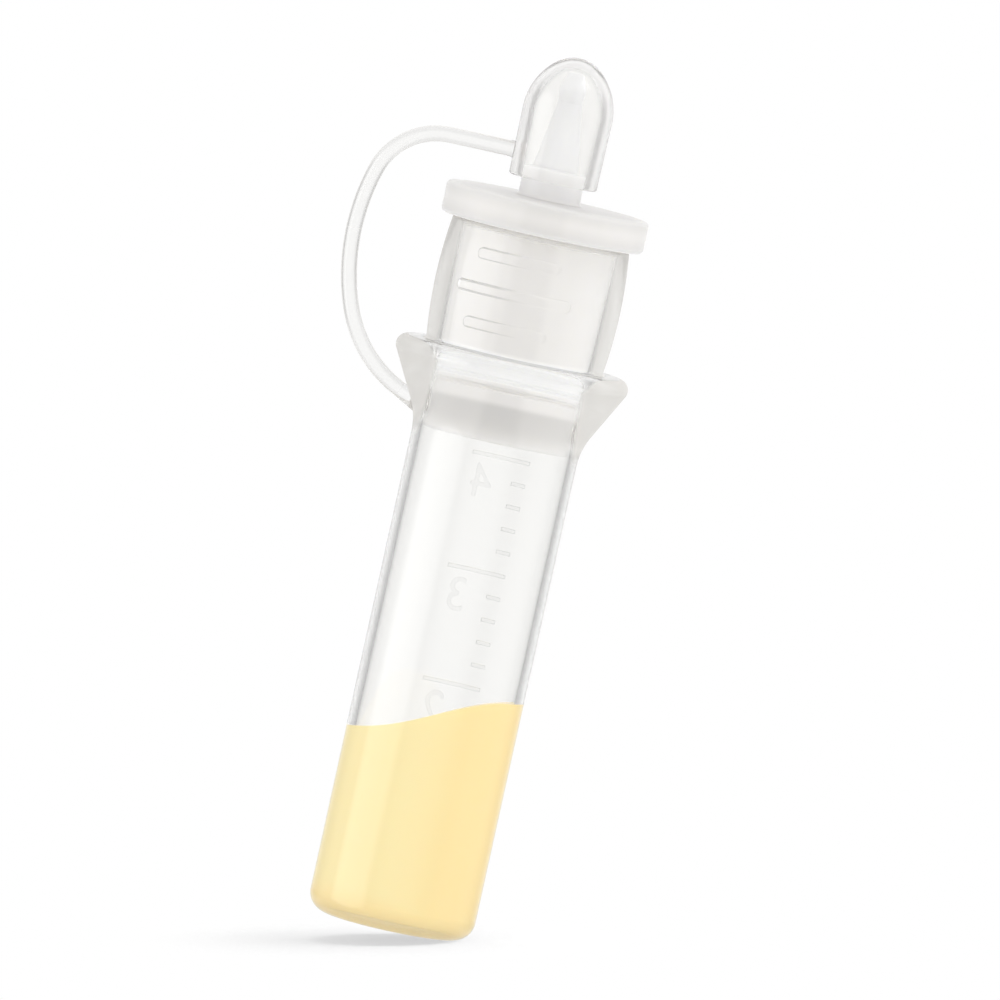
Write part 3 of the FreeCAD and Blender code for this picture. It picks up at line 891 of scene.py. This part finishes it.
class SYRINGE_OT_container(bpy.types.Operator):
    """Model the clear barrel with its collar, neck, grip ribs and scale"""

    bl_idname = "syringe.container"
    bl_label = "Container"

    def execute(self, context):
        scene = context.scene
        sizes, relief = scene.syringe_container, scene.syringe_relief
        container = turned("clear_container", container_outline(sizes))
        neck_middle = (sizes.collar_height + CONTAINER_HIGH.z) / 2
        spans = {-1: relief.rib_short, 0: relief.rib_long, 1: relief.rib_short}
        ribs = [
            make_rib(relief, sizes, neck_middle + number * relief.rib_pitch, span)
            for number, span in spans.items()
        ]
        lines, digits = [], []
        for fifth in range(2, 21):
            height = relief.zero_height + fifth / 5 * relief.millilitre
            whole = fifth % 5 == 0
            lines.append(make_line(relief, sizes, height, relief.long_end if whole else relief.short_end))
            if whole:
                digits.append(make_digit(relief, fifth // 5, height))
        strap = scene.syringe_strap
        foot, heading = strap_foot(strap)
        bore = BARREL_R - sizes.wall
        depth = (strap.foot_out + strap_radius() * heading.z - bore - strap.stub_sink) / heading.x
        stub = make_stub(foot, heading, depth, strap.flare)
        united(container, *ribs, *lines, *digits, stub)
        finish_piece(container, container_silicone(scene))
        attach(container, "barrel")
        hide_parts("container")
        return {"FINISHED"}


class SYRINGE_OT_dose(bpy.types.Operator):
    """Model the dose with its level, waved surface"""

    bl_idname = "syringe.dose"
    bl_label = "Dose"

    def execute(self, context):
        scene = context.scene
        sizes, walls = scene.syringe_dose, scene.syringe_container
        side = BARREL_R - walls.wall + sizes.wetting
        bottom = walls.floor - sizes.wetting
        skin = rounded((0, bottom), (side, bottom, walls.floor_corner), (side, sizes.height))
        rings = [Vector((side * (1 - i / 24), sizes.height)) for i in range(1, 25)]
        dose = turned("milk_dose", skin + rings)
        for vertex in dose.data.vertices:
            if vertex.co.z > sizes.height - MM / 100:
                vertex.co.z = self.surface(sizes, vertex.co.x, vertex.co.y)
        pick(dose)
        bpy.ops.object.shade_smooth_by_angle(angle=math.radians(50))
        finish_piece(dose, dose_liquid(scene))
        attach(dose, "barrel")
        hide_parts("dose")
        return {"FINISHED"}

    @staticmethod
    def surface(sizes, across, deep):
        """Height of the surface at a place: level while the syringe leans and nods, with one wave."""
        share = max(-1, min(1, across / (sizes.wave_length / 2)))
        wave = sizes.wave_step / 2 * math.sin(share * math.pi / 2)
        height = sizes.height + across * math.tan(sizes.lean) - deep * math.tan(sizes.nod) + wave
        return min(height, DOSE_HIGH.z)


class SYRINGE_OT_stopper(bpy.types.Operator):
    """Model the milky stopper with its plug, disc, spout and channel"""

    bl_idname = "syringe.stopper"
    bl_label = "Stopper"

    def execute(self, context):
        scene = context.scene
        sizes, walls = scene.syringe_stopper, scene.syringe_container
        plug_r = BARREL_R - walls.wall - sizes.clearance
        mouth_z = CONTAINER_HIGH.z
        disc_z = mouth_z + sizes.disc
        plug_z, tip_z = STOPPER_LOW.z, STOPPER_HIGH.z
        root_z = disc_z + sizes.root
        step_z = plug_z + sizes.sump
        outline = rounded(
            (sizes.sump_r, plug_z),
            (plug_r, plug_z, sizes.plug_edge),
            *self.grooves(sizes, plug_r),
            (plug_r, walls.collar_height),
            (plug_r + walls.mouth_flare, mouth_z),
            (STOPPER_HIGH.x, mouth_z, sizes.disc_edge),
            (STOPPER_HIGH.x, disc_z, sizes.disc_edge),
            (sizes.root_r, disc_z, sizes.root_blend),
            (sizes.root_r, root_z, sizes.spout_edge),
            (sizes.base_r, root_z, sizes.spout_edge),
            (sizes.waist_r, tip_z - sizes.bulb, sizes.waist_blend),
            (sizes.waist_r + sizes.bulb_swell, tip_z - sizes.bulb / 2, sizes.bulb_round),
            (sizes.tip_r, tip_z, sizes.spout_edge),
            (sizes.orifice_r, tip_z, sizes.orifice_edge),
            (sizes.orifice_r, tip_z - sizes.orifice),
            (sizes.channel_r, disc_z),
            (sizes.channel_r, step_z),
            (sizes.sump_r, step_z - sizes.step),
            (sizes.sump_r, plug_z),
        )
        stopper = turned("milky_stopper", outline)
        finish_piece(stopper, milky_silicone(scene))
        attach(stopper, "stopper")
        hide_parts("stopper")
        return {"FINISHED"}

    @staticmethod
    def grooves(sizes, plug_r):
        """Shallow grooves round the plug that leave sealing rings between them."""
        corners = []
        for height in (sizes.groove, sizes.groove + sizes.groove_pitch):
            for side, depth in ((-1, 0), (-0.5, sizes.groove_depth), (0.5, sizes.groove_depth), (1, 0)):
                corners.append((plug_r - depth, height + side * sizes.groove_width / 2, sizes.groove_edge))
        return corners


class SYRINGE_OT_cap(bpy.types.Operator):
    """Model the clear dome cap"""

    bl_idname = "syringe.cap"
    bl_label = "Cap"

    def execute(self, context):
        scene = context.scene
        sizes = scene.syringe_cap
        side = CAP_HIGH.y
        base = CAP_HIGH.z - sizes.dome
        outside = dome(side, sizes.dome, sizes.nose_r, base)
        inside = dome(side - sizes.wall, sizes.dome - sizes.wall, sizes.nose_r - sizes.wall, base)
        rim = rounded(
            (sizes.mouth_r, CAP_LOW.z + MM),
            (sizes.mouth_r, CAP_LOW.z, sizes.rim_round / 2),
            (sizes.rim_r, CAP_LOW.z, sizes.rim_round),
            (side, base),
        )
        cap = turned("clear_cap", rim[1:-1] + outside + inside[::-1] + [rim[1]])
        depth = sizes.wall / 2 - side - strap_root().x
        stub = make_stub(strap_root(), Vector((1, 0, 0)), depth, scene.syringe_strap.flare)
        united(cap, stub)
        finish_piece(cap, clear_silicone(scene))
        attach(cap, "cap")
        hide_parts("cap")
        return {"FINISHED"}


class SYRINGE_OT_strap(bpy.types.Operator):
    """Model the moulded strap from the collar to the cap, in two halves"""

    bl_idname = "syringe.strap"
    bl_label = "Strap"

    def execute(self, context):
        scene = context.scene
        upper, bow, lower = strap_turns(scene.syringe_strap)
        root = strap_root()
        foot = strap_foot(scene.syringe_strap)[0]
        middle = Vector((strap_reach(), 0, bow[0].z))
        material = strap_silicone(scene)
        top = self.section("strap_upper", root, (0, math.pi / 2, 0))
        bpy.ops.mesh.extrude_region_move(TRANSFORM_OT_translate={"value": (upper[0].x - root.x, 0, 0)})
        self.bend(top, upper, (bow[0], bow[1], math.pi))
        bottom = self.section("strap_lower", middle, (0, 0, 0))
        self.bend(bottom, (bow[0], math.pi, bow[2]), lower)
        for strap, start, end, below, above in (
            (bottom, foot, middle, "barrel", "stopper"),
            (top, middle, root, "stopper", "cap"),
        ):
            finish_piece(strap, material)
            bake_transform(strap)
            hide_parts("tether")
        return {"FINISHED"}

    @staticmethod
    def section(name, place, rotation):
        """The strap's round section at a place, open for extruding."""
        start_piece()
        bpy.ops.mesh.primitive_circle_add(
            vertices=48, radius=strap_radius(), fill_type="NOTHING", location=place, rotation=rotation
        )
        strap = settle(bpy.context.object, name)
        edit_all()
        return strap

    @staticmethod
    def bend(strap, *turns):
        """Take the strap's open end round each turn, then close both ends."""
        for centre, start, end in turns:
            steps = math.ceil((end - start) / math.radians(1.5))
            bpy.ops.mesh.spin(steps=steps, angle=end - start, center=centre, axis=(0, 1, 0))
        bpy.ops.mesh.select_all(action="SELECT")
        bpy.ops.mesh.remove_doubles(threshold=JOIN)
        bpy.ops.mesh.fill_holes(sides=0)
        leave_closed()
        bpy.ops.object.shade_smooth_by_angle(angle=SMOOTH_BELOW)


# ---- stage ----


def camera_axes(stage, lean):
    """Right, up and back of the camera, which sees the syringe lean to the right."""
    up = Vector((0, math.sin(stage.elevation), math.cos(stage.elevation)))
    back = Vector((0, -math.cos(stage.elevation), math.sin(stage.elevation)))
    right = up.cross(back)
    return (
        right * math.cos(lean) + up * math.sin(lean),
        up * math.cos(lean) - right * math.sin(lean),
        back,
    )


def add_lamp(name, place, side, watts):
    """A soft square lamp above the syringe, aimed at its base, that the camera doesn't see."""
    start_piece()
    bpy.ops.object.light_add(type="AREA", location=place)
    lamp = bpy.context.object
    lamp.name = name
    lamp.data.shape = "RECTANGLE"
    lamp.data.size = side
    lamp.data.size_y = side
    lamp.data.energy = watts
    lamp.rotation_euler = (-Vector(place)).to_track_quat("-Z", "Y").to_euler()
    lamp.visible_camera = False
    lamp.visible_glossy = False
    return lamp


class SYRINGE_OT_stage(bpy.types.Operator):
    """Set up the floor, the light and the camera"""

    bl_idname = "syringe.stage"
    bl_label = "Stage"

    def execute(self, context):
        scene = context.scene
        stage, lean = scene.syringe_stage, scene.syringe_dose.lean
        self.add_camera(scene, stage, lean)
        floor = self.add_floor(scene, stage, lean)
        self.add_world(scene, stage)
        add_lamp("high softbox", (0.15, -0.03, 0.32), 0.12, 0.12)
        # The second lamp lights the floor alone: it deepens the shadow and changes nothing on the pieces.
        overhead = add_lamp("overhead softbox", (0.04, 0, 0.34), 0.22, 0.95)
        overhead.light_linking.receiver_collection = bpy.data.collections.new("floor under the lamp")
        overhead.light_linking.receiver_collection.objects.link(floor)
        scene.view_settings.view_transform = "Standard"
        return {"FINISHED"}

    @staticmethod
    def add_camera(scene, stage, lean):
        """A far camera with a long lens, which keeps the barrel's sides nearly parallel."""
        right, up, back = camera_axes(stage, lean)
        start_piece()
        bpy.ops.object.camera_add()
        camera = bpy.context.object
        camera.name = "camera"
        turn = Matrix((right, up, back)).transposed().to_4x4()
        aim = Vector((stage.aim_x, 0, stage.aim_z))
        camera.matrix_world = Matrix.Translation(aim + back * stage.distance) @ turn
        camera.data.sensor_width = 36
        camera.data.lens = camera.data.sensor_width * stage.distance / stage.field
        camera.data.clip_end = 10
        scene.camera = camera

    @staticmethod
    def add_floor(scene, stage, lean):
        """A pale floor that touches the lower edge of the leaning syringe's base and fades to white."""
        sizes = scene.syringe_container
        corner = Vector((BARREL_R - sizes.base_corner, 0, sizes.base_corner))
        normal = Vector((-math.sin(lean), 0, math.cos(lean)))
        start_piece()
        bpy.ops.mesh.primitive_circle_add(vertices=96, radius=stage.floor_r, fill_type="NGON")
        floor = bpy.context.object
        turn = Vector((0, 0, 1)).rotation_difference(normal).to_matrix().to_4x4()
        floor.matrix_world = Matrix.Translation(corner - normal * (sizes.base_corner + 0.02 * MM)) @ turn
        settle(floor, "floor")
        material, tree, place = new_material("matt white floor")
        seen = add_node(tree, "ShaderNodeLightPath").outputs["Is Camera Ray"]
        away = ramp(tree, vectors(tree, "LENGTH", place)["Value"], stage.fade_start, stage.fade_end)
        matt = add_node(tree, "ShaderNodeBsdfDiffuse", {"Color": grey(stage.floor_tone)}).outputs[0]
        glow = add_node(tree, "ShaderNodeEmission", {"Strength": stage.floor_glow}).outputs[0]
        lit = add_node(tree, "ShaderNodeAddShader", {0: matt, 1: glow}).outputs[0]
        white = add_node(tree, "ShaderNodeEmission", {"Strength": 1}).outputs[0]
        above = layered(tree, maths(tree, "MULTIPLY", away, seen), lit, white)
        underside = add_node(tree, "ShaderNodeNewGeometry").outputs["Backfacing"]
        show(tree, layered(tree, underside, above, add_node(tree, "ShaderNodeBsdfTransparent").outputs[0]))
        floor.data.materials.append(material)
        floor.visible_glossy = False
        floor.visible_transmission = False
        return floor

    @staticmethod
    def add_world(scene, stage):
        """White sheets on four sides, and grey corners that the clear rims show as darker lines."""
        world = bpy.data.worlds.new("studio")
        world.use_nodes = True
        tree = world.node_tree
        tree.nodes.clear()
        path = add_node(tree, "ShaderNodeLightPath").outputs
        way = add_node(tree, "ShaderNodeTexCoord").outputs["Generated"]
        parts = add_node(tree, "ShaderNodeSeparateXYZ", {"Vector": way}).outputs
        squared = [maths(tree, "MULTIPLY", parts[axis], parts[axis]) for axis in "XY"]
        across = maths(tree, "ABSOLUTE", maths(tree, "SUBTRACT", *squared))
        straight = maths(tree, "DIVIDE", across, maths(tree, "ADD", *squared))
        sheets = ramp(tree, straight, 0.1, 0.95, stage.corners, stage.sheets)
        steep = ramp(tree, maths(tree, "ABSOLUTE", parts["Z"]), 0.15, 0.35)
        room = mixed(tree, steep, sheets, stage.ceiling)
        # The softbox shows as a highlight. A refracted ray sees the plain sheet in its place.
        towards = vectors(tree, "DOT_PRODUCT", way, (-0.92, -0.39, 0))["Value"]
        softbox = ramp(tree, towards, 0.84, 0.94, 0, stage.softbox)
        shine = maths(tree, "MULTIPLY", softbox, maths(tree, "SUBTRACT", 1, path["Is Transmission Ray"]))
        seen = maths(tree, "MAXIMUM", path["Is Glossy Ray"], path["Is Transmission Ray"])
        lighting = mixed(tree, seen, stage.plain, maths(tree, "ADD", room, shine))
        shown = mixed(tree, path["Is Camera Ray"], lighting, 1)
        light = add_node(tree, "ShaderNodeBackground", {"Color": grey(1), "Strength": shown}).outputs[0]
        tree.links.new(light, add_node(tree, "ShaderNodeOutputWorld").inputs["Surface"])
        scene.world = world


# ---- the sidebar and the run ----


class SYRINGE_PT_panel(bpy.types.Panel):
    """The pieces of the syringe, in the order in which they are made"""

    bl_idname = "SYRINGE_PT_panel"
    bl_label = "Oral syringe"
    bl_space_type = "VIEW_3D"
    bl_region_type = "UI"
    bl_category = "Syringe"

    def draw(self, context):
        for operator in OPERATORS:
            self.layout.operator(operator.bl_idname)
        for name, group in GROUPS.items():
            box = self.layout.box()
            box.label(text=group.__doc__)
            for key in group.__annotations__:
                box.prop(getattr(context.scene, name), key)


OPERATORS = (
    SYRINGE_OT_container,
    SYRINGE_OT_dose,
    SYRINGE_OT_stopper,
    SYRINGE_OT_cap,
    SYRINGE_OT_strap,
    SYRINGE_OT_stage,
)


def register():
    for cls in (*GROUPS.values(), *OPERATORS, SYRINGE_PT_panel):
        bpy.utils.register_class(cls)
    for name, group in GROUPS.items():
        setattr(bpy.types.Scene, name, PointerProperty(type=group))


def unregister():
    for name in GROUPS:
        delattr(bpy.types.Scene, name)
    for cls in (SYRINGE_PT_panel, *OPERATORS, *GROUPS.values()):
        bpy.utils.unregister_class(cls)


def main():
    """Make the whole syringe and its stage."""
    register()
    bpy.ops.syringe.container()
    bpy.ops.syringe.dose()
    bpy.ops.syringe.stopper()
    bpy.ops.syringe.cap()
    bpy.ops.syringe.strap()
    bpy.ops.syringe.stage()


if __name__ == "__main__":
    main()
